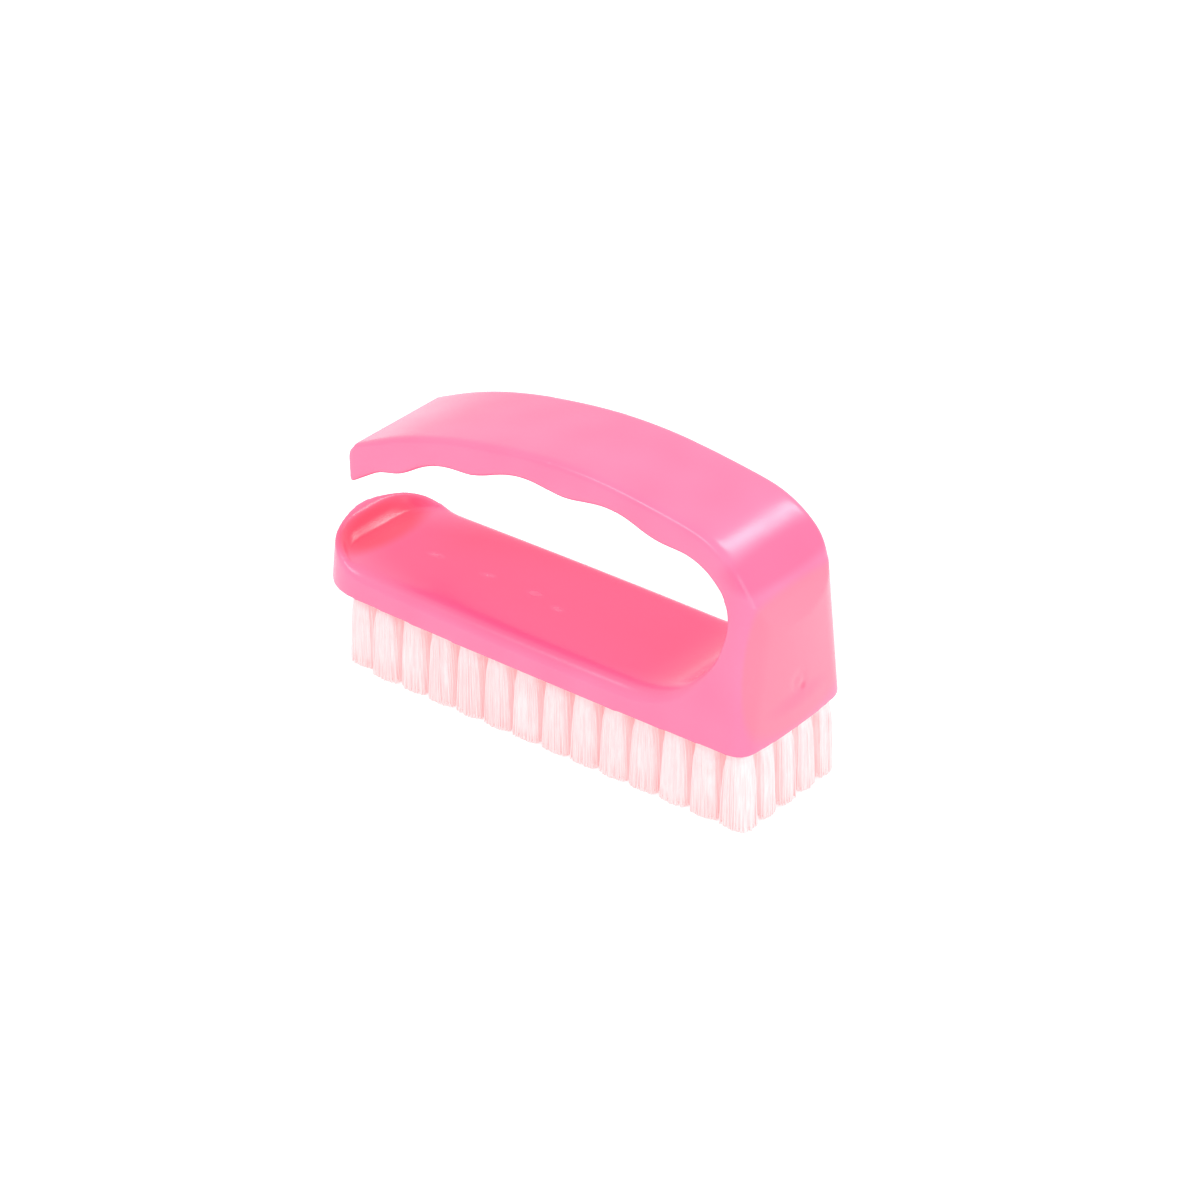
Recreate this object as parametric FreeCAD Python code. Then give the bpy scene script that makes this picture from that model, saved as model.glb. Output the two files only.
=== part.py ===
import FreeCAD, Part
import math
import os

# Nail brush: one moulded body with a C shaped handle, and 70 bristle tufts held by metal anchors.
# Frame: millimetres, +Z up, bristle tips on z = 0, +X to the column end, -X to the toe, front at -Y.

# Main sizes
block_length = 96.0
block_end_width = 28.8
block_thickness = 5.7
bristle_length = 15.2
overall_height = 55.2
strap_thickness = 5.2
column_thickness = 6.5
free_end_from_toe = 9.45
free_end_round = 1.4
lip_height = 4.45

# How far the long sides, the column end and the toe bulge between their corners, at foot and top
side_bow = 0.75
side_bow_high = 0.15
end_bow = 0.6
end_bow_high = 0.3
toe_bow = 0.3

# Lean of the walls, as shares of the height above the block's foot
side_lean_share = 0.094
end_lean_share = 0.008
toe_lean_share = 0.05

# Corner roundings seen from above, at the foot and at the top of the outline
column_corner = 3.4
column_corner_high = 6.6
toe_corner = 10.8
toe_corner_high = 9.0
corner_limit_share = 0.9

# Rim roundings along the block, along the strap's underside, around the toe and along the back
block_rim = 3.0
strap_rim = 1.3
toe_rim = 0.7
back_rim = 1.1

# Scoop behind the toe's raised lip, drawn as four level lines from the floor up. Heights are shares of
# the lip's height. Each line has its inset from the toe's end in the middle, then turns back along the
# sides at its own distance inside them, to run out where the lip has sunk to the block's top
scoop_floor_rise = 0.06
scoop_height_shares = [0, 0.4, 0.77, 1.3]
scoop_insets = [5.0, 2.7, 1.9, 1.5]
scoop_side_inset = 9.8
scoop_side_walls = [1.7, 1.4, 1.2, 1.1]
scoop_powers = [7, 5, 4, 4]
scoop_open_share = -0.7
scoop_round_shares = [0, 0.3, 0.55, 0.75, 0.88, 0.96, 1]

# Bristle tufts: counts, distances from the block's edges to the outer tufts' middles, and sizes
tufts_along = 14
tufts_across = 5
tuft_from_toe = 9.85
tuft_from_column = 4.05
tuft_from_side = 3.7
toe_row_from_side = 4.8
tuft_root_diameter = 3.8
tip_gap = 0.1
tuft_flutes = 8
flute_share = 0.13
# Where a tuft's slope changes: share of the free length above the tips, and share of its spread by then
tuft_bend_share = 0.6
tuft_bend_spread = 0.6

# Blind holes that hold the tufts, and the flat anchors driven across their folds
hole_floor = 1.5
anchor_bite = 0.3
anchor_thickness = 0.35
anchor_recess = 1.6
fold_over_anchor = 0.5

# Gate mark on the column's end face
gate_above_block = 3.35
gate_dish_radius = 2.6
gate_dish_depth = 0.25
gate_stub_radius = 0.8
gate_stub_height = 0.5

half_length = block_length / 2
half_width = block_end_width / 2
block_bottom = bristle_length
block_top = block_bottom + block_thickness
back_height = overall_height - block_top
space_height = back_height - strap_thickness
free_end_x = free_end_from_toe - half_length
space_span = half_length - column_thickness - free_end_x
outline_top = overall_height + block_thickness
margin = half_width / 4

tuft_pitch_along = (block_length - tuft_from_toe - tuft_from_column) / (tufts_along - 1)
tuft_pitch_across = (block_end_width - 2 * tuft_from_side) / (tufts_across - 1)
toe_pitch_across = (block_end_width - 2 * toe_row_from_side) / (tufts_across - 1)
tuft_tip_length = tuft_pitch_along - tip_gap
tuft_tip_width = min(tuft_pitch_across, toe_pitch_across) - tip_gap
hole_depth = block_thickness - hole_floor
anchor_width = tuft_root_diameter + 2 * anchor_bite
anchor_height = hole_depth - fold_over_anchor - anchor_recess

# Side view lines. The back: shares of half the length and of the back's height over the block's top,
# from beyond the free end, over the shoulder and down past the column's end face
back_shares = [(-1.196, 0.428), (-0.998, 0.56), (-0.828, 0.659), (-0.716, 0.732), (-0.599, 0.802),
               (-0.392, 0.893), (-0.131, 0.963), (0.181, 0.999), (0.495, 0.968), (0.64, 0.938),
               (0.755, 0.901),
               (0.835, 0.841), (0.895, 0.768), (0.934, 0.692), (0.961, 0.612), (0.981, 0.53), (0.995, 0.445),
               (1.007, 0.35)]
# Crest of the toe's lip: shares of half the length and of the lip's height
crest_shares = [(-1.276, 2.53), (-1.097, 1.58), (-1.0, 1.0), (-0.946, 0.72), (-0.883, 0.41),
                (-0.841, 0.21), (-0.8, 0.07)]
crest_end_share = -0.756
# Finger space: shares of its span from the free end to the column, and of its height. The throat runs
# from the block's top up the column's inner face, the grip on to beyond the free end, with ridges
# between shallow finger grooves
throat_start_share = 0.754
throat_shares = [(0.829, 0.024), (0.895, 0.102), (0.949, 0.231), (0.981, 0.357), (0.995, 0.485),
                 (1.0, 0.601)]
grip_shares = [(1.0, 0.601), (0.987, 0.723), (0.956, 0.815), (0.916, 0.88), (0.876, 0.907),
               (0.835, 0.91), (0.79, 0.93), (0.735, 0.978), (0.679, 1.0), (0.624, 0.981),
               (0.57, 0.963), (0.519, 0.978), (0.456, 0.985), (0.391, 0.941), (0.332, 0.885),
               (0.279, 0.876), (0.229, 0.852), (0.179, 0.791), (0.125, 0.708), (0.079, 0.678),
               (0.041, 0.621), (0, 0.55), (-0.079, 0.5), (-0.174, 0.484), (-0.281, 0.476)]
free_end_shares = [(-0.015, 0.757), (-0.004, 0.55)]
# Directions of these lines at their ends
along = FreeCAD.Vector(1, 0, 0)
upward = FreeCAD.Vector(0, 0, 1)
back_start = FreeCAD.Vector(1, 0, 0.5)
back_finish = FreeCAD.Vector(0.1, 0, -1)
crest_start = FreeCAD.Vector(1, 0, -0.34)

# Where the rims change size, as shares of half the length or of the back's height
rim_fade_shares = (-1.2, 0.12)
back_fade_shares = (1.01, 0.04)
toe_rim_share = -0.95
strap_rim_share = 0.275

# How finely each line is set out, and into how many patches its skin is divided
crest_samples = 18
flat_samples = 14
throat_samples = 22
grip_samples = 90
back_samples = 110
space_patches = 6
back_patches = 5
# Set-out points from the middle to the side: shares of the half width, then shares of the rim
station_shares = [0, 0.35, 0.6]
rim_shares = [1.25, 1.0, 0.8, 0.62, 0.45, 0.3, 0.16, 0.05]
rim_past_share = 0.3
rim_turn = math.radians(70)
diagonal_share = math.sqrt(0.5)
round_share = math.sqrt(2) - 1


def vec(x, y, z):
    return FreeCAD.Vector(x, y, z)


def back_point(pair):
    return vec(pair[0] * half_length, 0, block_top + pair[1] * back_height)


def lip_point(pair):
    return vec(pair[0] * half_length, 0, block_top + pair[1] * lip_height)


def space_point(pair):
    return vec(free_end_x + pair[0] * space_span, 0, block_top + pair[1] * space_height)


def blend(low, high, z):
    # A size that changes evenly from the block's foot to the outline's top
    share = (z - block_bottom) / (outline_top - block_bottom)
    return low + (high - low) * share


def smooth_step(value):
    value = max(0, min(1, value))
    return value * value * (3 - 2 * value)


def half_width_at(z):
    return half_width - side_lean_share * (z - block_bottom)


def end_x_at(z):
    return half_length - end_lean_share * (z - block_bottom)


def toe_x_at(z):
    return toe_lean_share * (z - block_bottom) - half_length


def side_y(x, z):
    # Half width anywhere along the long sides, bow included
    middle = (end_x_at(z) + toe_x_at(z)) / 2
    share = (x - middle) / half_length
    bow = blend(side_bow, side_bow_high, z)
    return half_width_at(z) + bow * (1 - min(share * share, 1))


def arc(a, b, c):
    return Part.Arc(a, b, c).toShape()


def curve_through(points, start_tangent, end_tangent):
    curve = Part.BSplineCurve()
    curve.interpolate(Points=points, InitialTangent=start_tangent, FinalTangent=end_tangent)
    return curve


def sample_curve(curve, count):
    first = curve.FirstParameter
    last = curve.LastParameter
    rows = []
    for i in range(count):
        t = first + (last - first) * i / (count - 1)
        rows.append((curve.value(t), curve.tangent(t)[0]))
    return rows


# Outer wall: the outline seen from above, drawn at the foot and at the top and joined by straight rules
def round_corner(before, middle, after):
    # A corner that runs on smoothly from the arc before it into the arc after it
    start = before.tangent(before.LastParameter)[0]
    finish = after.tangent(after.FirstParameter)[0]
    return curve_through([before.EndPoint, middle, after.StartPoint], start, finish).toShape()


def plan_outline(z):
    h = half_width_at(z)
    rc = min(blend(column_corner, column_corner_high, z), h * corner_limit_share)
    rt = min(blend(toe_corner, toe_corner_high, z), h * corner_limit_share)
    xe = end_x_at(z)
    corner = xe - blend(end_bow, end_bow_high, z)
    tip = toe_x_at(z)
    toe = tip + toe_bow
    bow = blend(side_bow, side_bow_high, z)
    middle = (xe + tip) / 2
    cut_c = rc * (1 - diagonal_share)
    cut_t = rt * (1 - diagonal_share)
    sides = [
        Part.Arc(vec(toe + rt, -h, z), vec(middle, -h - bow, z), vec(corner - rc, -h, z)),
        Part.Arc(vec(corner, -h + rc, z), vec(xe, 0, z), vec(corner, h - rc, z)),
        Part.Arc(vec(corner - rc, h, z), vec(middle, h + bow, z), vec(toe + rt, h, z)),
        Part.Arc(vec(toe, h - rt, z), vec(tip, 0, z), vec(toe, -h + rt, z)),
    ]
    middles = [vec(corner - cut_c, -h + cut_c, z), vec(corner - cut_c, h - cut_c, z),
               vec(toe + cut_t, h - cut_t, z), vec(toe + cut_t, -h + cut_t, z)]
    edges = []
    for before, point, after in zip(sides, middles, sides[1:] + sides[:1]):
        edges += [before.toShape(), round_corner(before, point, after)]
    return Part.Wire(edges)


def outer_wall():
    return Part.makeLoft([plan_outline(block_bottom), plan_outline(outline_top)], True, True)


# Skins: a side view line swept across the width, bent into the material where it nears a side
def rim_drop(depth, rim):
    # How far the rim has fallen away at this depth inside the side wall
    if depth >= rim:
        return 0
    radius = rim / math.sin(rim_turn)
    if depth >= 0:
        return radius - math.sqrt(radius * radius - (rim - depth) ** 2)
    edge = radius * (1 - math.cos(rim_turn))
    return edge + min(-depth * math.tan(rim_turn), rim / 2)


def skin_line(point, inward, rim):
    side = side_y(max(-half_length, min(half_length, point.x)), point.z)
    depths = [side - share * (side - rim * rim_shares[0]) for share in station_shares]
    depths += [rim * share for share in rim_shares]
    depths += [-rim * rim_past_share, -margin]
    half = []
    for depth in depths:
        shift = inward * rim_drop(depth, rim)
        half.append(vec(point.x + shift.x, side - depth, point.z + shift.z))
    half[-1].y = half_width + margin
    other = [vec(p.x, -p.y, p.z) for p in reversed(half[1:])]
    return other + half


def even_knots(count):
    # Knots of an even cubic surface that starts and ends on its outermost control points
    spans = count - 3
    knots = list(range(spans + 1))
    return knots, [4] + [1] * (spans - 1) + [4]


def skin(grid, patches):
    long_knots, long_counts = even_knots(len(grid))
    wide_knots, wide_counts = even_knots(len(grid[0]))
    faces = []
    for i in range(patches):
        start = long_knots[-1] * i // patches
        finish = long_knots[-1] * (i + 1) // patches
        surface = Part.BSplineSurface()
        surface.buildFromPolesMultsKnots(grid, long_counts, wide_counts, long_knots, wide_knots,
                                         False, False, 3, 3)
        surface.segment(start, finish, 0, wide_knots[-1])
        faces.append(surface.toShape())
    shell = Part.makeShell(faces)
    shell.sewShape()
    return shell


def space_lines():
    # The finger space's line: lip crest, block top, throat and grip
    start = lip_point((crest_end_share, 0))
    throat_foot = space_point((throat_start_share, 0))
    crest = curve_through([lip_point(p) for p in crest_shares] + [start], crest_start, along)
    throat = curve_through([throat_foot] + [space_point(p) for p in throat_shares], along, upward)
    grip = curve_through([space_point(p) for p in grip_shares], upward, -along)
    rows = sample_curve(crest, crest_samples)
    for i in range(1, flat_samples):
        x = start.x + (throat_foot.x - start.x) * i / flat_samples
        rows.append((vec(x, 0, block_top), along))
    rows += sample_curve(throat, throat_samples)
    rows += sample_curve(grip, grip_samples)[1:]
    return rows


def space_rim(x, z):
    # Full along the block, small around the toe and along the strap
    share = x / half_length
    from_toe = smooth_step((share - toe_rim_share) / (crest_end_share - toe_rim_share))
    up = smooth_step((z - block_top) / (strap_rim_share * back_height))
    on_block = toe_rim + (block_rim - toe_rim) * from_toe
    return on_block + (strap_rim - on_block) * up


def space_skin():
    grid = []
    for point, tangent in space_lines():
        share = point.x / half_length
        fade = smooth_step((share - rim_fade_shares[0]) / rim_fade_shares[1])
        inward = vec(tangent.z, 0, -tangent.x) * fade
        grid.append(skin_line(point, inward, space_rim(point.x, point.z)))
    return skin(grid, space_patches)


def back_skin():
    grid = []
    curve = curve_through([back_point(p) for p in back_shares], back_start, back_finish)
    for point, tangent in sample_curve(curve, back_samples):
        share = point.x / half_length
        fade = smooth_step((share - rim_fade_shares[0]) / rim_fade_shares[1])
        fade *= smooth_step((back_fade_shares[0] - share) / back_fade_shares[1])
        inward = vec(tangent.z, 0, -tangent.x) * fade
        grid.append(skin_line(point, inward, back_rim))
    return skin(grid, back_patches)


def piece_with_foot(form, cutter):
    # Divide the form by the skin and keep the piece that holds the middle of the block's foot
    pieces, history = form.generalFuse([cutter])
    probe = vec(0, 0, block_bottom + block_thickness / 4)
    return [p for p in pieces.Solids if p.isInside(probe, block_thickness / 100, False)][0]


def beyond_free_end():
    # Everything to the left of the strap's free end and above the toe, with the end's top corner rounded
    top, foot = [space_point(p) for p in free_end_shares]
    back = [back_point(p) for p in back_shares[2:4]]
    fall = (foot - top).normalize()
    rise = (back[1] - back[0]).normalize()
    low = (foot.z + block_top + lip_height) / 2
    high = outline_top + margin
    left = -half_length - margin
    before = top + fall * free_end_round
    after = top + rise * free_end_round
    halfway = (before + after) / 2
    crown = halfway + (top - halfway) * round_share
    low_end = foot + fall * ((low - foot.z) / fall.z)
    outline = [Part.makeLine(low_end, before), arc(before, crown, after)]
    corners = [after, vec(after.x, 0, high), vec(left, 0, high), vec(left, 0, low), low_end]
    outline += Part.makePolygon(corners).Edges
    form = Part.Face(Part.Wire(outline)).extrude(vec(0, 2 * (half_width + margin), 0))
    form.translate(vec(0, -half_width - margin, 0))
    return form


# The scoop behind the lip: the floor line runs almost straight across, the upper lines follow the round
# toe, and all turn back along the sides
def scoop_line(z, inset, side_wall, power):
    end = toe_x_at(z)
    width = half_width - side_wall
    side = []
    for share in scoop_round_shares:
        back = inset + (scoop_side_inset - inset) * share ** power
        side.append(vec(end + back, width * share, z))
    across = [vec(p.x, -p.y, z) for p in reversed(side[1:])] + side
    open_x = scoop_open_share * half_length
    curve = Part.BSplineCurve()
    curve.interpolate(Points=across)
    corners = [across[-1], vec(open_x, width, z), vec(open_x, -width, z), across[0]]
    return Part.Wire([curve.toShape()] + Part.makePolygon(corners).Edges)


def scoop():
    floor = block_top + scoop_floor_rise
    heights = [floor + share * lip_height for share in scoop_height_shares]
    sizes = zip(heights, scoop_insets, scoop_side_walls, scoop_powers)
    return Part.makeLoft([scoop_line(*line) for line in sizes], True, True)


# Gate mark: a shallow dish in the end face with the short stub of the filling gate in it
def gate_mark(body):
    z = block_top + gate_above_block
    bottom_x = end_x_at(z) - gate_dish_depth
    ball = (gate_dish_radius ** 2 + gate_dish_depth ** 2) / (2 * gate_dish_depth)
    dish = Part.makeSphere(ball, vec(bottom_x + ball, 0, z))
    start = vec(bottom_x - gate_stub_height / 2, 0, z)
    stub = Part.makeCylinder(gate_stub_radius, gate_stub_height, start, along)
    return body.cut(dish).fuse(stub)


# The tufts, their blind holes and the flat anchors driven across them
def tuft_places():
    rows = []
    for i in range(tufts_along):
        x = tuft_from_toe - half_length + tuft_pitch_along * i
        pitch = toe_pitch_across if i == 0 else tuft_pitch_across
        ys = [pitch * (j - (tufts_across - 1) / 2) for j in range(tufts_across)]
        rows.append([(x, y) for y in ys])
    return rows


def anchor_at(x, y):
    top = block_bottom + hole_depth - fold_over_anchor
    corner = vec(x - anchor_width / 2, y - anchor_thickness / 2, top - anchor_height)
    return Part.makeBox(anchor_width, anchor_thickness, anchor_height, corner)


def root_at(x, y):
    return Part.makeCylinder(tuft_root_diameter / 2, hole_depth, vec(x, y, block_bottom))


def fluted_ring(x, y, z, length, width):
    # An oval outline with shallow flutes, as the filaments' clumps leave along a tuft
    step = math.pi / tuft_flutes
    edges = []
    for i in range(tuft_flutes):
        points = []
        for turn, share in ((-1, 1 - flute_share), (0, 1), (1, 1 - flute_share)):
            angle = (2 * i + turn) * step
            out_x = share * math.cos(angle) * length / 2
            out_y = share * math.sin(angle) * width / 2
            points.append(vec(x + out_x, y + out_y, z))
        edges.append(arc(*points))
    return Part.Wire(edges)


def tuft_at(x, y):
    # The filaments fan out quickly below the hole, then more slowly down to the tips
    rings = []
    for height_share, spread in ((0, 1), (tuft_bend_share, tuft_bend_spread), (1, 0)):
        length = tuft_root_diameter + spread * (tuft_tip_length - tuft_root_diameter)
        width = tuft_root_diameter + spread * (tuft_tip_width - tuft_root_diameter)
        rings.append(fluted_ring(x, y, height_share * bristle_length, length, width))
    bundle = Part.makeLoft(rings, True, True)
    return bundle.fuse(root_at(x, y)).cut(anchor_at(x, y))


def body_form():
    body = piece_with_foot(outer_wall(), back_skin())
    body = body.cut(beyond_free_end()).Solids[0]
    body = piece_with_foot(body, space_skin())
    body = gate_mark(body.cut(scoop()))
    tools = []
    for row in tuft_places():
        for x, y in row:
            tools.append(root_at(x, y))
            tools.append(anchor_at(x, y))
    return body.cut(tools).Solids[0]


os.makedirs("parts", exist_ok=True)
body_form().exportStep("parts/body.step")
for number, row in enumerate(tuft_places(), 1):
    tufts = Part.makeCompound([tuft_at(x, y) for x, y in row])
    tufts.exportStep(f"parts/tuft_row_{number:02d}.step")
    anchors = Part.makeCompound([anchor_at(x, y) for x, y in row])
    anchors.exportStep(f"parts/anchor_row_{number:02d}.step")
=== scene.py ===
import math
import random

import bmesh
import bpy
from mathutils import Matrix, Vector


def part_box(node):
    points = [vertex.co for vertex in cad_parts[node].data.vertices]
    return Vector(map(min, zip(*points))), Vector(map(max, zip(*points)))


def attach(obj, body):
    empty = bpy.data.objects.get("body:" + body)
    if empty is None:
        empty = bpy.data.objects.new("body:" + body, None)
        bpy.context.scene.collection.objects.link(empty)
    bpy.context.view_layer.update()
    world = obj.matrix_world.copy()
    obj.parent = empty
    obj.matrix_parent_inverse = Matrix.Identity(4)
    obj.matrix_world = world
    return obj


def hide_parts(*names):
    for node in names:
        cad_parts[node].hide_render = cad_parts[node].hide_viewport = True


# Looks of the nail brush: one pink moulding with short tufts of pale nylon filament.
# Metres, in the frame's own axes: +Z up, the filament tips on z = 0, the column end at +X.

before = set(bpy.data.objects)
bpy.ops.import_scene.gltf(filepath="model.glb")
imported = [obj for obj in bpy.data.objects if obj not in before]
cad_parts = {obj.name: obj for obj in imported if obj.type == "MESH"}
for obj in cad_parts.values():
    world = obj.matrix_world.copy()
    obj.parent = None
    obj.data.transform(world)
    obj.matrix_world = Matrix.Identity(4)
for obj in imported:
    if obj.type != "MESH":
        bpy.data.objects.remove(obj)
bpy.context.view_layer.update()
MM = 0.001

# Soft skin of the moulding
SKIN_DOUBLES = 0.002 * MM
SKIN_VOXEL = 0.2 * MM
SKIN_SMOOTHINGS = 24
SMOOTHING_SHARE = 0.5
SKIN_FACES = 190000
# The raised toe is smoothed on, beyond this place along the brush and above this height
TOE_END = -40 * MM
TOE_FOOT = 20.4 * MM
TOE_SMOOTHINGS = 40
# So is the handle above this height, once more beyond each place, so its rims round off to the column
HANDLE_FOOT = 42 * MM
HANDLE_PLACES = (-12 * MM, 4 * MM, 18 * MM)
HANDLE_SMOOTHINGS = 16
# Plugs that close the moulding's holes round the tufts
PLUG_OVERLAP = 0.4 * MM
PLUG_HEIGHT = 4.4 * MM
PLUG_SIDES = 24

# Filaments: long ones around each tuft's core, and short tips under the core
OUTER_FILAMENTS = 120
INNER_FILAMENTS = 70
FILAMENT_RADIUS = 0.12 * MM
BLUNT_SHARE = 0.55
INNER_SHARE = 0.84
ROOT_DEPTH = 0.8 * MM
STUB_LENGTH = 3.0 * MM
GOLDEN_TURN = math.pi * (3 - math.sqrt(5))
THREAD_DOUBLES = 0.001 * MM
# Where a filament has points, as shares of the way from the foot to its tip
OUTER_LEVELS = (0, 0.3, 0.65, 0.985, 1)
INNER_LEVELS = (0.985, 1)

# How unlike one another the filaments are: turns about the tuft, reach at the tip, cut and bow
TURN_SCATTER = 0.15
TIP_TURN = 0.05
TIP_REACHES = (0.94, 1.06)
TIP_CUTS_MM = (0.03, 0.2)
BOW_MM = 0.06

# Core of a tuft, as shares of the tuft's own outline and height
CORE_SHARE = 0.92
CORE_TIP = 1.0 * MM
CORE_SIDES = 32
CORE_LEVELS = (0, 0.2, 0.4, 0.6, 0.75, 0.88, 0.96, 1.0)

# How a tuft fans out below its hole, and how deep the grooves between its clumps are
FAN_POWER = 0.48
CLUMPS = 8
CLUMP_DEPTH = 0.06
# The tips crowd into the space between their neighbours: 2 is an oval, more is squarer
ROOT_POWER = 2
TIP_POWER = 4.0

# Pink plastic: colours, roughness and relief
PINK_DARKER = (0.93, 0.165, 0.325, 1)
PINK_PALER = (0.96, 0.20, 0.37, 1)
PINK_CLOUD = 9 * MM
PINK_ROUGHNESS = 0.2
PINK_IOR = 1.49
HAZE_SIZE = 5 * MM
HAZE_ROUGHNESS = 0.08
WAVE_SIZE = 4 * MM
WAVE_SHARE = 0.8
GRAIN_SIZE = 0.35 * MM
GRAIN_SHARE = 0.08
PINK_RELIEF = 0.03 * MM

# Painted shade and reflection on the moulding, as deeper pinks laid over one another in this order. Each has
# its middle and half sizes in millimetres, the share of them that it covers in full, its strength and its
# colour
PAINTED_SHADE_AND_REFLECTION = {
    # painted reflection: a deeper pink band on the shoulder, below its highlight
    "shoulder_painted_reflection": ((46.5, 0, 46.8), (9, 26, 4.2), 0.6, 0.7, (0.94, 0.12, 0.27, 1)),
    # painted reflection: a warmer salmon pink over the column's flat end
    "column_end_painted_reflection": ((48.5, 0, 31.0), (4, 30, 17), 0.8, 0.8, (0.95, 0.19, 0.28, 1)),
    # painted shadow: a deep red spot in the dimple round the gate nub
    "gate_dimple_painted_shadow": ((48.0, 1.2, 22.8), (1.2, 1.0, 1.1), 0.2, 0.6, (0.93, 0.08, 0.19, 1)),
    # painted shade: deeper pink over the block's top, where the handle shades it
    "block_top_painted_shade": ((-1.0, 0, 21.2), (58, 18.5, 5), 0.6, 1.0, (0.94, 0.10, 0.25, 1)),
    # painted shade: deep red in the toe's concave scoop
    "scoop_painted_shade": ((-42.2, 0, 22.4), (5.6, 14, 6), 0.5, 0.9, (0.93, 0.06, 0.13, 1)),
}

# Pale scuffs on the block's top: place along and across it, half length in millimetres, and turn
SCUFFS = (
    (-29.3, -1.0, 2.6, 0.1),
    (-17.7, -0.8, 2.2, 0.2),
    (-7.4, -0.6, 2.2, 0.05),
    (-1.1, -2.3, 2.0, -0.1),
)
SCUFF_TOP_MM = 20.9
SCUFF_HALF_WIDTH_MM = 1.1
SCUFF_DEPTH_MM = 1
SCUFF_GRAIN = 0.8 * MM
SCUFF_COLOUR = (0.97, 0.40, 0.58, 1)
SCUFF_STRENGTH = 0.35
SCUFF_ROUGHNESS = 0.1

# Nylon thread: colours, the light that it passes on, roughness, and streaks drawn out along it
NYLON_DARKER = (0.84, 0.53, 0.54, 1)
NYLON_PALER = (0.88, 0.62, 0.62, 1)
NYLON_TONE = 0.5 * MM
NYLON_TONE_STRETCH = (1, 1, 0.12)
NYLON_TONE_LIMITS = (0.3, 0.7)
NYLON_GLOW = (1.0, 0.77, 0.78, 1)
NYLON_GLOW_STRENGTH = 0.26
NYLON_ROUGHNESS = 0.4
NYLON_IOR = 1.5
STREAK_SIZE = 0.22 * MM
STREAK_STRETCH = (1, 1, 0.08)
STREAK_ROUGHNESS = 0.15
STREAK_RELIEF = 0.04 * MM

# Brass of the anchors, brushed along their length
BRASS_DARKER = (0.62, 0.44, 0.17, 1)
BRASS_PALER = (0.78, 0.60, 0.28, 1)
BRASS_GRAIN = 0.2 * MM
BRASS_STRETCH = (0.2, 1, 1)
BRASS_ROUGHNESS = 0.3
BRASS_STREAK_ROUGHNESS = 0.2
BRASS_RELIEF = 0.01 * MM

# Pale paper that the brush stands on
FLOOR_REACH = 3
FLOOR_DARKER = (0.87, 0.87, 0.87, 1)
FLOOR_PALER = (0.89, 0.89, 0.89, 1)
FLOOR_GRAIN = 0.4 * MM
FLOOR_ROUGHNESS = 0.8
FLOOR_GLOW = 0.3

# Studio light: white world, and softboxes with their places, sizes and watts
WHITE = (1, 1, 1, 1)
WORLD_STRENGTH = 0.9
LIGHT_AIM = (0, 0, 0.03)
SOFTBOXES = {
    "back_window": ((0.26, 0.72, 0.76), (0.12, 0.4), 1.8),
    "front_strip": ((-0.2, -0.66, 0.8), (0.7, 0.24), 3.2),
    "end_fill": ((1.0, -0.15, 0.4), (0.8, 0.8), 3.7),
}

# Camera of the photograph
CAMERA_PLACE = (0.3674, -0.4567, 0.3686)
CAMERA_DOWN = 0.534
CAMERA_TURN = 0.669
CAMERA_LENS = 120
SENSOR_WIDTH = 36


class Shade:
    """A value in a finish's nodes, with sums written as plain Python."""

    def __init__(self, finish, socket):
        self.finish = finish
        self.socket = socket

    def sum(self, operation, first, second):
        return self.finish.node("ShaderNodeMath", {"operation": operation}, {0: first, 1: second})

    def __add__(self, other):
        return self.sum("ADD", self, other)

    __radd__ = __add__

    def __sub__(self, other):
        return self.sum("SUBTRACT", self, other)

    def __rsub__(self, other):
        return self.sum("SUBTRACT", other, self)

    def __mul__(self, other):
        return self.sum("MULTIPLY", self, other)

    __rmul__ = __mul__

    def over(self, low, high):
        # 0 at low, 1 at high, and smooth between them
        return self.finish.node("ShaderNodeMapRange", {"interpolation_type": "SMOOTHSTEP"},
                                {"Value": self, "From Min": low, "From Max": high})


class Finish:
    """One new material with one Principled shader."""

    def __init__(self, name):
        self.material = bpy.data.materials.new(name)
        self.material.use_nodes = True
        self.tree = self.material.node_tree
        self.shader = self.tree.nodes["Principled BSDF"]
        self.place = self.node("ShaderNodeTexCoord", output="Object")

    def node(self, kind, settings=None, inputs=None, output=0):
        node = self.tree.nodes.new(kind)
        for name, value in (settings or {}).items():
            setattr(node, name, value)
        for name, value in (inputs or {}).items():
            self.plug(value, node.inputs[name])
        return Shade(self, node.outputs[output])

    def plug(self, value, socket):
        if isinstance(value, Shade):
            self.tree.links.new(value.socket, socket)
        else:
            socket.default_value = value

    def set(self, **values):
        for name, value in values.items():
            self.plug(value, self.shader.inputs[name.replace("_", " ")])

    def noise(self, size, detail=2.0, stretch=(1, 1, 1)):
        # Noise whose lumps are about this size in metres
        scaled = self.node("ShaderNodeMapping", {}, {"Vector": self.place, "Scale": stretch})
        return self.node("ShaderNodeTexNoise", {}, {"Vector": scaled, "Scale": 1 / size, "Detail": detail})

    def blend(self, amount, first, second):
        return self.node("ShaderNodeMix", {"data_type": "RGBA"}, {0: amount, 6: first, 7: second}, 2)

    def spot(self, centre, sizes, core, turn=0.0):
        # 1 in the core of an ellipsoid about the centre, fading to 0 at its surface. Places in millimetres
        inputs = {
            "Vector": self.place,
            "Location": [v * MM for v in centre],
            "Rotation": (0, 0, turn),
            "Scale": [v * MM for v in sizes],
        }
        local = self.node("ShaderNodeMapping", {"vector_type": "TEXTURE"}, inputs)
        reach = self.node("ShaderNodeVectorMath", {"operation": "LENGTH"}, {0: local}, "Value")
        return reach.over(1.0, core)

    def bump(self, height, distance):
        normal = self.node("ShaderNodeBump", {}, {"Height": height, "Distance": distance})
        self.plug(normal, self.shader.inputs["Normal"])


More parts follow.
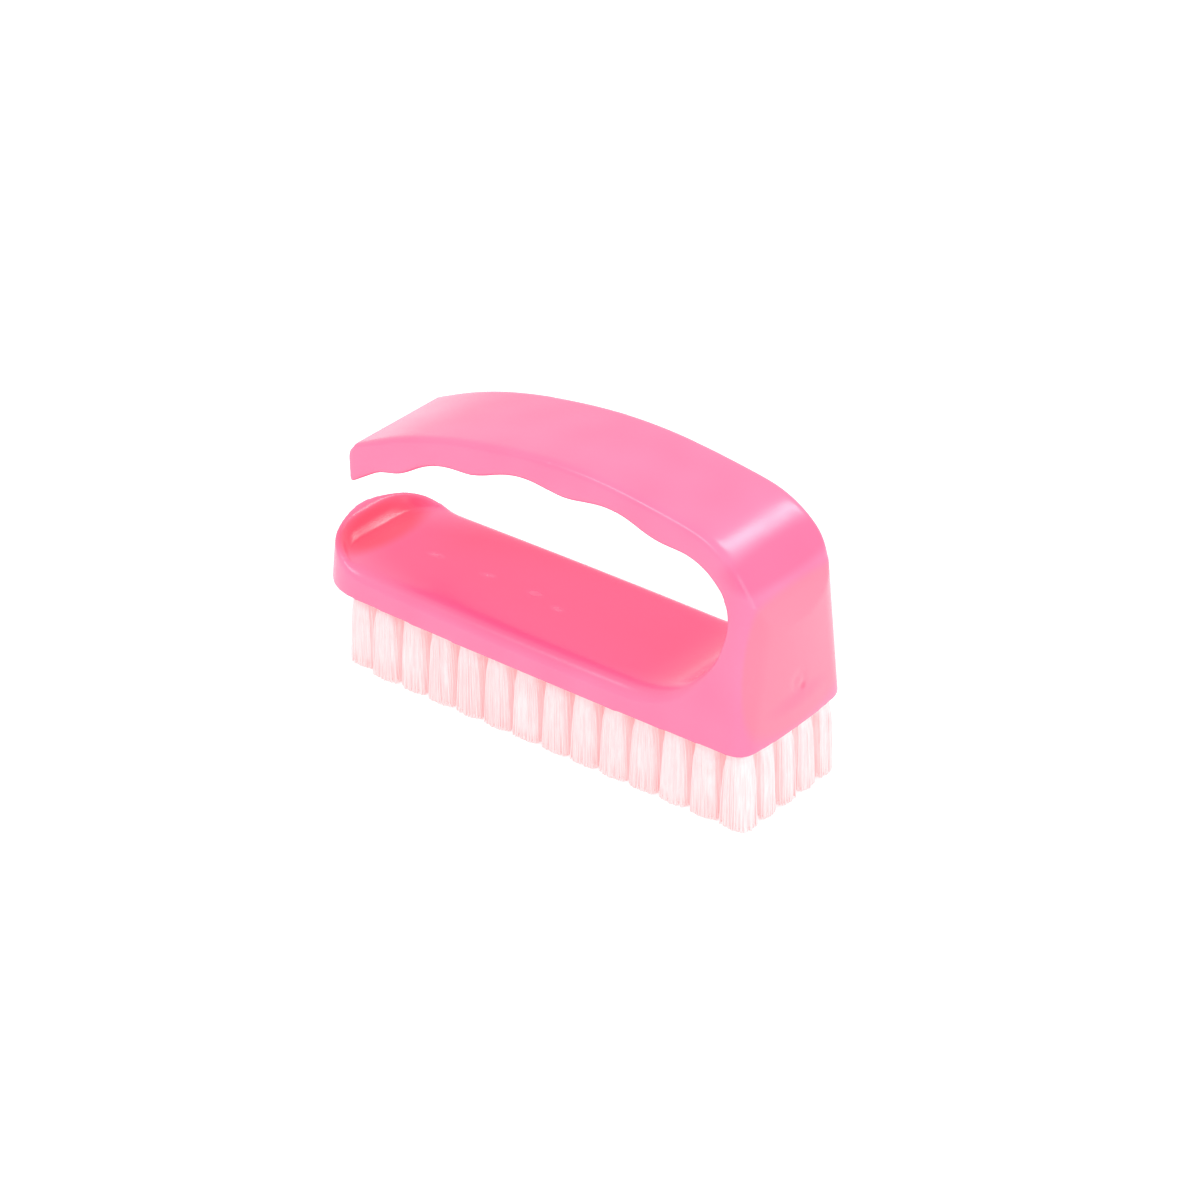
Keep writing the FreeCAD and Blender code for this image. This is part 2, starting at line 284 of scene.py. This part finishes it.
def scuff_marks(f):
    # Worn marks on the block's top, as one mask
    worn = f.noise(SCUFF_GRAIN, 1.0)
    marks = 0
    for x, y, half_length, turn in SCUFFS:
        sizes = (half_length, SCUFF_HALF_WIDTH_MM, SCUFF_DEPTH_MM)
        marks += worn * f.spot((x, y, SCUFF_TOP_MM), sizes, 0, turn)
    return marks


def pink_plastic():
    # Glossy pink moulding: slightly cloudy colour, with painted shade and reflection laid over it as deeper
    # pinks in some places, and fine scuffs on the block's top
    f = Finish("pink_plastic")
    colour = f.blend(f.noise(PINK_CLOUD, 0.0), PINK_DARKER, PINK_PALER)
    # Lay the painted shade and reflection over the cloudy colour
    for centre, sizes, core, strength, painted_colour in PAINTED_SHADE_AND_REFLECTION.values():
        colour = f.blend(f.spot(centre, sizes, core) * strength, colour, painted_colour)
    scuffs = scuff_marks(f)
    f.set(Base_Color=f.blend(scuffs * SCUFF_STRENGTH, colour, SCUFF_COLOUR))
    haze = f.noise(HAZE_SIZE, 0.0)
    roughness = haze * HAZE_ROUGHNESS + PINK_ROUGHNESS + scuffs * SCUFF_ROUGHNESS
    f.set(Roughness=roughness, IOR=PINK_IOR)
    waves = f.noise(WAVE_SIZE, 1.0)
    grain = f.noise(GRAIN_SIZE)
    f.bump(waves * WAVE_SHARE + grain * GRAIN_SHARE, PINK_RELIEF)
    return f.material


def pale_nylon():
    # Clear nylon drawn to thread: nearly white, faintly pink, silky along its length. Its weak glow stands
    # for the light that clear threads pass on into the gaps between them
    f = Finish("pale_nylon")
    tone = f.noise(NYLON_TONE, stretch=NYLON_TONE_STRETCH)
    f.set(Base_Color=f.blend(tone.over(*NYLON_TONE_LIMITS), NYLON_DARKER, NYLON_PALER))
    streak = f.noise(STREAK_SIZE, 1.0, STREAK_STRETCH)
    f.set(Roughness=streak * STREAK_ROUGHNESS + NYLON_ROUGHNESS, IOR=NYLON_IOR)
    f.set(Emission_Color=NYLON_GLOW, Emission_Strength=NYLON_GLOW_STRENGTH)
    f.bump(streak, STREAK_RELIEF)
    return f.material


def anchor_brass():
    f = Finish("anchor_brass")
    brushed = f.noise(BRASS_GRAIN, stretch=BRASS_STRETCH)
    f.set(Base_Color=f.blend(brushed, BRASS_DARKER, BRASS_PALER))
    f.set(Metallic=1.0, Roughness=brushed * BRASS_STREAK_ROUGHNESS + BRASS_ROUGHNESS)
    f.bump(brushed, BRASS_RELIEF)
    return f.material


def floor_white():
    # Pale paper that the camera and the reflections see as nearly white, with the brush's soft shadow
    f = Finish("floor_white")
    grain = f.noise(FLOOR_GRAIN)
    f.set(Base_Color=f.blend(grain, FLOOR_DARKER, FLOOR_PALER), Roughness=FLOOR_ROUGHNESS)
    paper = Shade(f, f.shader.outputs[0])
    glow = f.node("ShaderNodeEmission", {}, {"Color": WHITE, "Strength": FLOOR_GLOW})
    both = f.node("ShaderNodeAddShader", {}, {0: paper, 1: glow})
    seen = (f.node("ShaderNodeLightPath", output="Is Camera Ray")
            + f.node("ShaderNodeLightPath", output="Is Glossy Ray"))
    mixed = f.node("ShaderNodeMixShader", {}, {0: seen, 1: paper, 2: both})
    f.plug(mixed, f.tree.nodes["Material Output"].inputs["Surface"])
    return f.material


def coat(mesh, material):
    mesh.materials.clear()
    mesh.materials.append(material)


def coat_smooth(mesh, material):
    coat(mesh, material)
    mesh.polygons.foreach_set("use_smooth", [True] * len(mesh.polygons))


def place_in_scene(name, mesh, material):
    coat_smooth(mesh, material)
    piece = bpy.data.objects.new(name, mesh)
    bpy.context.scene.collection.objects.link(piece)
    return piece


class TuftRow:
    """The places and sizes of one CAD row of tufts, read from its node."""

    def __init__(self, node, foot):
        low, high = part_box(node)
        roots = sorted(v.co.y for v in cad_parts[node].data.vertices if v.co.z > foot + MM)
        groups = [[roots[0]]]
        for y in roots[1:]:
            if y - groups[-1][-1] > MM:
                groups.append([])
            groups[-1].append(y)
        x = (low.x + high.x) / 2
        self.foot = foot
        self.middles = [Vector((x, (group[0] + group[-1]) / 2, 0)) for group in groups]
        self.root_radius = (groups[0][-1] - groups[0][0]) / 2
        self.tip_length = (high.x - low.x) / 2
        self.tip_width = high.y - self.middles[-1].y

    def point(self, middle, angle, share, down):
        # A place in the tuft: share of its outline, and how far down from the foot to the tips
        opened = down ** FAN_POWER if down > 0 else 0
        out_x = self.root_radius + (self.tip_length - self.root_radius) * opened
        out_y = self.root_radius + (self.tip_width - self.root_radius) * opened
        power = ROOT_POWER + (TIP_POWER - ROOT_POWER) * opened
        square = (abs(math.cos(angle)) ** power + abs(math.sin(angle)) ** power) ** (-1 / power)
        flute = 1 - CLUMP_DEPTH * (1 - math.cos(CLUMPS * angle)) / 2
        reach = share * flute * square
        return middle + Vector((math.cos(angle) * out_x * reach, math.sin(angle) * out_y * reach,
                                self.foot * (1 - down)))


def add_core(bm, row, middle):
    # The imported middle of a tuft: an oval that is drawn up into the hole, level by level
    ring = bmesh.ops.create_circle(bm, cap_ends=True, segments=CORE_SIDES, radius=1)["verts"]
    face = ring[0].link_faces[0]
    angles = [math.atan2(v.co.y, v.co.x) for v in face.verts]
    tip = 1 - CORE_TIP / row.foot
    for step, level in enumerate(CORE_LEVELS):
        if step:
            grown = bmesh.ops.extrude_face_region(bm, geom=[face])["geom"]
            face = [g for g in grown if isinstance(g, bmesh.types.BMFace)][0]
        for vert, angle in zip(face.verts, angles):
            vert.co = row.point(middle, angle, CORE_SHARE, tip * (1 - level))


def add_filament(curve, points):
    # A round thread along the points, blunted at its tip
    line = curve.splines.new("POLY")
    line.points.add(len(points) - 1)
    for place, point in zip(line.points, points):
        place.co = (point.x, point.y, point.z, 1)
        place.radius = 1
    line.points[-1].radius = BLUNT_SHARE


def add_tuft(curve, rng, row, middle):
    # Long filaments around the core, then short tips that fill the level cut under it
    inset = 1 - FILAMENT_RADIUS / row.root_radius
    for k in range(OUTER_FILAMENTS + INNER_FILAMENTS):
        angle = GOLDEN_TURN * k + rng.uniform(-TURN_SCATTER, TURN_SCATTER)
        if k < OUTER_FILAMENTS:
            share = INNER_SHARE + (1 - INNER_SHARE) * math.sqrt(rng.random())
            levels = (-ROOT_DEPTH / row.foot,) + OUTER_LEVELS
        else:
            share = INNER_SHARE * math.sqrt(rng.random())
            levels = (1 - STUB_LENGTH / row.foot,) + INNER_LEVELS
        tip_share = share * rng.uniform(*TIP_REACHES)
        tip_angle = angle + rng.gauss(0, TIP_TURN)
        end = 1 - rng.uniform(*TIP_CUTS_MM) * MM / row.foot
        bow = Vector((rng.gauss(0, BOW_MM), rng.gauss(0, BOW_MM), 0)) * MM
        points = []
        for level in levels:
            opened = max(level, 0)
            turn = angle + (tip_angle - angle) * opened
            reach = (share + (tip_share - share) * opened) * inset
            point = row.point(middle, turn, reach, level * end)
            points.append(point + bow * math.sin(math.pi * opened))
        add_filament(curve, points)


def thread_curve(name):
    curve = bpy.data.curves.new(name, "CURVE")
    curve.dimensions = "3D"
    curve.bevel_depth = FILAMENT_RADIUS
    curve.bevel_resolution = 1
    curve.use_fill_caps = True
    return curve


def add_bristles(number, row, material):
    name = f"bristle_row_{number:02d}"
    rng = random.Random(number)
    curve = thread_curve(name)
    bm = bmesh.new()
    for middle in row.middles:
        add_tuft(curve, rng, row, middle)
        add_core(bm, row, middle)
    threads = bpy.data.objects.new(name, curve)
    bm.from_mesh(bpy.data.meshes.new_from_object(threads))
    bpy.data.objects.remove(threads)
    bmesh.ops.remove_doubles(bm, verts=bm.verts, dist=THREAD_DOUBLES)
    bmesh.ops.recalc_face_normals(bm, faces=bm.faces)
    mesh = bpy.data.meshes.new(name)
    bm.to_mesh(mesh)
    bm.free()
    piece = place_in_scene(name, mesh, material)
    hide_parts(f"tuft_row_{number:02d}")
    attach(piece, "root")


def apply_modifiers(piece):
    seen = piece.evaluated_get(bpy.context.evaluated_depsgraph_get())
    mesh = bpy.data.meshes.new_from_object(seen)
    piece.modifiers.clear()
    piece.data = mesh


def soften(bm, verts, times):
    for _ in range(times):
        bmesh.ops.smooth_vert(bm, verts=verts, factor=SMOOTHING_SHARE,
                              use_axis_x=True, use_axis_y=True, use_axis_z=True)


def soften_skin(bm):
    # Soften every edge as it leaves the tool, the toe and the handle's rims more than the rest
    toe = [v for v in bm.verts if v.co.x < TOE_END and v.co.z > TOE_FOOT]
    soften(bm, bm.verts, SKIN_SMOOTHINGS)
    soften(bm, toe, TOE_SMOOTHINGS)
    for place in HANDLE_PLACES:
        rims = [v for v in bm.verts if v.co.z > HANDLE_FOOT and v.co.x > place]
        soften(bm, rims, HANDLE_SMOOTHINGS)


def plugged_body(rows, foot):
    # The CAD body's mesh, with a plug in each hole so that its foot closes round the tufts
    bm = bmesh.new()
    bm.from_mesh(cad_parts["body"].data)
    bmesh.ops.remove_doubles(bm, verts=bm.verts, dist=SKIN_DOUBLES)
    for row in rows:
        radius = row.root_radius + PLUG_OVERLAP
        for middle in row.middles:
            place = Matrix.Translation((middle.x, middle.y, foot + PLUG_HEIGHT / 2))
            bmesh.ops.create_cone(bm, cap_ends=True, segments=PLUG_SIDES, radius1=radius, radius2=radius,
                                  depth=PLUG_HEIGHT, matrix=place)
    mesh = bpy.data.meshes.new("moulding")
    bm.to_mesh(mesh)
    bm.free()
    return mesh


def add_moulding(rows, foot, material):
    # One even skin over the plugged body, softened and then thinned
    piece = place_in_scene("moulding", plugged_body(rows, foot), material)
    remesh = piece.modifiers.new("even_skin", "REMESH")
    remesh.mode = "VOXEL"
    remesh.voxel_size = SKIN_VOXEL
    apply_modifiers(piece)
    bm = bmesh.new()
    bm.from_mesh(piece.data)
    soften_skin(bm)
    # Each face of the even skin has four sides, so it counts as two triangles
    ratio = SKIN_FACES / (2 * len(bm.faces))
    bm.to_mesh(piece.data)
    bm.free()
    thin = piece.modifiers.new("fewer_faces", "DECIMATE")
    thin.ratio = ratio
    apply_modifiers(piece)
    coat_smooth(piece.data, material)
    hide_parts("body")
    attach(piece, "root")


def add_floor():
    bm = bmesh.new()
    bmesh.ops.create_grid(bm, x_segments=1, y_segments=1, size=FLOOR_REACH)
    mesh = bpy.data.meshes.new("floor")
    bm.to_mesh(mesh)
    bm.free()
    place_in_scene("floor", mesh, floor_white())


def add_softbox(name, place, size, watts):
    light = bpy.data.lights.new(name, "AREA")
    light.shape = "RECTANGLE"
    light.size, light.size_y = size
    light.energy = watts
    lamp = bpy.data.objects.new(name, light)
    lamp.location = place
    lamp.rotation_euler = (Vector(LIGHT_AIM) - Vector(place)).to_track_quat("-Z", "Y").to_euler()
    bpy.context.scene.collection.objects.link(lamp)


def add_lights():
    world = bpy.data.worlds.new("studio")
    world.use_nodes = True
    background = world.node_tree.nodes["Background"]
    background.inputs["Color"].default_value = WHITE
    background.inputs["Strength"].default_value = WORLD_STRENGTH
    bpy.context.scene.world = world
    for name, (place, size, watts) in SOFTBOXES.items():
        add_softbox(name, place, size, watts)


def add_camera():
    camera = bpy.data.cameras.new("camera")
    camera.lens = CAMERA_LENS
    camera.sensor_width = SENSOR_WIDTH
    eye = bpy.data.objects.new("camera", camera)
    eye.location = CAMERA_PLACE
    eye.rotation_euler = (math.pi / 2 - CAMERA_DOWN, 0, CAMERA_TURN)
    bpy.context.scene.collection.objects.link(eye)
    bpy.context.scene.camera = eye


def main():
    bpy.context.scene.view_settings.view_transform = "Standard"
    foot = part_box("body")[0].z
    brass = anchor_brass()
    nylon = pale_nylon()
    pink = pink_plastic()
    count = sum(name.startswith("tuft_row_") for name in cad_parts)
    rows = [TuftRow(f"tuft_row_{number:02d}", foot) for number in range(1, count + 1)]
    for number, row in enumerate(rows, 1):
        coat(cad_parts[f"anchor_row_{number:02d}"].data, brass)
        add_bristles(number, row, nylon)
    coat(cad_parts["body"].data, pink)
    add_moulding(rows, foot, pink)
    add_floor()
    add_lights()
    add_camera()


main()
